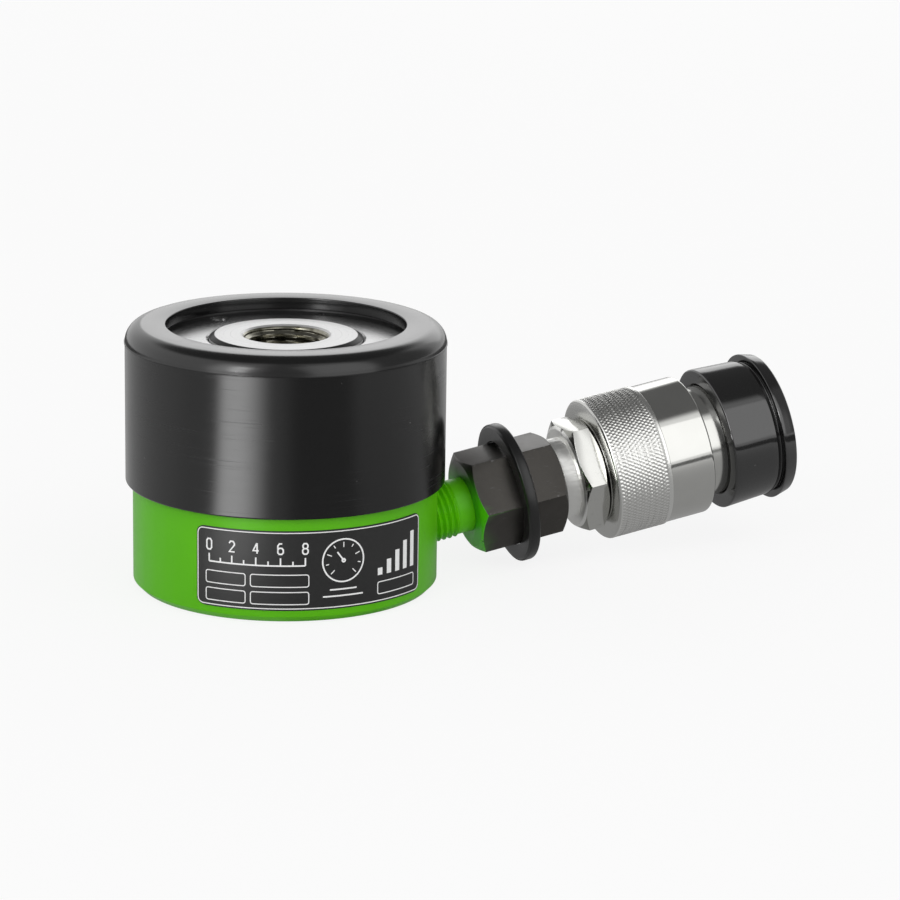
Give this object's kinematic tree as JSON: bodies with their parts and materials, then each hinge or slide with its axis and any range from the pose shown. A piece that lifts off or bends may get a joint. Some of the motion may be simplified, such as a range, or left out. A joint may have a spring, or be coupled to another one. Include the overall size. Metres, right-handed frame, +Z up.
{
  "type": "hollow plunger hydraulic cylinder",
  "caption": "Low hydraulic cylinder with a hollow threaded plunger, a plastic collar protector, and an angled port that carries a screw-on quick coupler half with a dust cap.",
  "frame": {"origin": "centre of the flat base, on the plunger's axis", "axes": "+Z up along the plunger, +X over the port and its coupler, which lean up 10.3 degrees in the XZ plane"},
  "size_m": [0.1606, 0.0734, 0.0604],
  "materials": {
    "body_green": "glossy bright green paint with fine specks",
    "nipple_green": "green overspray on a threaded steel nipple",
    "moulded_black": "glossy black moulding with fine scratches",
    "cap_black": "glossy black moulding",
    "label_black": "black film with a thin white border and a plain scale",
    "gland_black": "semi-gloss black coated steel",
    "ground_steel": "bright ground steel",
    "black_oxide": "black oxide steel, worn at the corners",
    "ring_rubber": "smooth black rubber",
    "seal_rubber": "moulded seal rubber",
    "backup_plastic": "plain filled plastic",
    "bushing_bronze": "turned bronze",
    "spring_steel": "drawn spring wire",
    "plated_steel": "bright zinc or nickel plate over turned steel",
    "plated_knurl": "plated steel with a diamond knurl"
  },
  "bodies": {
    "root": {"cylinder_body": "body_green", "centre_tube": "ground_steel", "centre_tube_seal": "seal_rubber", "gland_ring": "gland_black", "gland_bushing": "bushing_bronze", "wiper_ring": "seal_rubber", "gland_lock_screws": "gland_black", "label_plate": "label_black", "port_nipple": "nipple_green", "hex_adapter": "black_oxide", "rubber_ring": "ring_rubber", "coupler_tail": "plated_steel", "spigot_seal": "seal_rubber", "coupler_barrel": "plated_steel", "nose_o_ring": "seal_rubber", "poppet_guide": "plated_steel", "return_spring": "spring_steel", "poppet_spring": "spring_steel"},
    "plunger_body": {"plunger": "ground_steel", "piston_cup_seal": "seal_rubber", "piston_backup_ring": "backup_plastic", "piston_wear_ring": "backup_plastic", "plunger_bore_seal": "seal_rubber", "plunger_bore_backup": "backup_plastic"},
    "protector_body": {"collar_protector": "moulded_black"},
    "nut_ring_body": {"nut_retaining_ring": "spring_steel"},
    "nut_body": {"coupling_nut": "plated_knurl"},
    "poppet_body": {"poppet": "plated_steel", "poppet_seal": "seal_rubber"},
    "dust_cap_body": {"dust_cap": "cap_black"}
  },
  "joints": [
    {"name": "plunger_slide", "type": "slide", "parent": "root", "child": "plunger_body", "axis": [0, 0, 1], "range_m": [0, 0.008], "stiffness_N_per_m": 4000, "springref_m": -0.004, "deforming": ["return_spring"]},
    {"name": "protector_lift", "type": "slide", "parent": "root", "child": "protector_body", "axis": [0, 0, 1], "range_m": [0, 0.045]},
    {"name": "nut_slide", "type": "slide", "parent": "root", "child": "nut_ring_body", "axis": [0.9839, 0, 0.1788], "range_m": [0, 0.004]},
    {"name": "nut_spin", "type": "hinge", "parent": "nut_ring_body", "child": "nut_body", "pos_m": [0.08855, 0, 0.02253], "axis": [0.9839, 0, 0.1788], "continuous": true},
    {"name": "poppet_slide", "type": "slide", "parent": "root", "child": "poppet_body", "axis": [0.9839, 0, 0.1788], "range_m": [-0.003, 0], "stiffness_N_per_m": 600, "springref_m": 0.003, "deforming": ["poppet_spring"]},
    {"name": "dust_cap_pull", "type": "slide", "parent": "root", "child": "dust_cap_body", "axis": [0.9839, 0, 0.1788], "range_m": [0, 0.02]}
  ]
}
